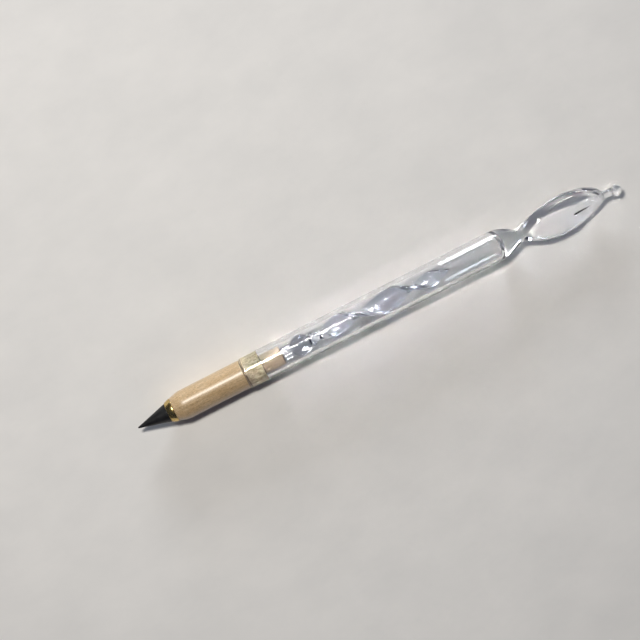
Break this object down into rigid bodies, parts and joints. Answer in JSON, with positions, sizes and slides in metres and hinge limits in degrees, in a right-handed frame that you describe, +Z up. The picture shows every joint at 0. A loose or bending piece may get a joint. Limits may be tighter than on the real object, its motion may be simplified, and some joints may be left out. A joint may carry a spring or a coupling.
{
  "type": "glass writing pen",
  "caption": "Writing pen lying level: graphite cone in a brass collar, beech grip, clear glass tube with a twisted ribbon ornament inside, and a solid glass leaf finial with a knob.",
  "frame": {"origin": "on the flat under the tube, halfway along the pen, where the pen rests on a table", "axes": "+X along the pen from its point towards the knob, +Z up, away from the surface it rests on; +Y across the pen"},
  "size_m": [0.202, 0.014, 0.012],
  "materials": {
    "graphite": "smooth black graphite composite, satin",
    "brass": "turned and lightly polished",
    "beech": "fine-turned beech, clear satin lacquer",
    "clear_glue": "cured clear adhesive with fine bubbles",
    "clear_glass": "clear borosilicate glass, flame polished"
  },
  "bodies": {
    "barrel": {"grip": "beech", "grip_insert": "brass", "tenon_glue": "clear_glue", "ornament_stem": "clear_glass", "ornament_ball": "clear_glass", "ornament_collar": "clear_glass", "ornament_ribbon": "clear_glass", "barrel_tube": "clear_glass", "leaf_finial": "clear_glass", "finial_knob": "clear_glass"},
    "nib": {"nib_cone": "graphite", "nib_ferrule": "brass"}
  },
  "joints": [
    {"name": "nib_unscrew", "type": "slide", "parent": "barrel", "child": "nib", "axis": [-1, 0, 0], "range_m": [0, 0.007]}
  ]
}
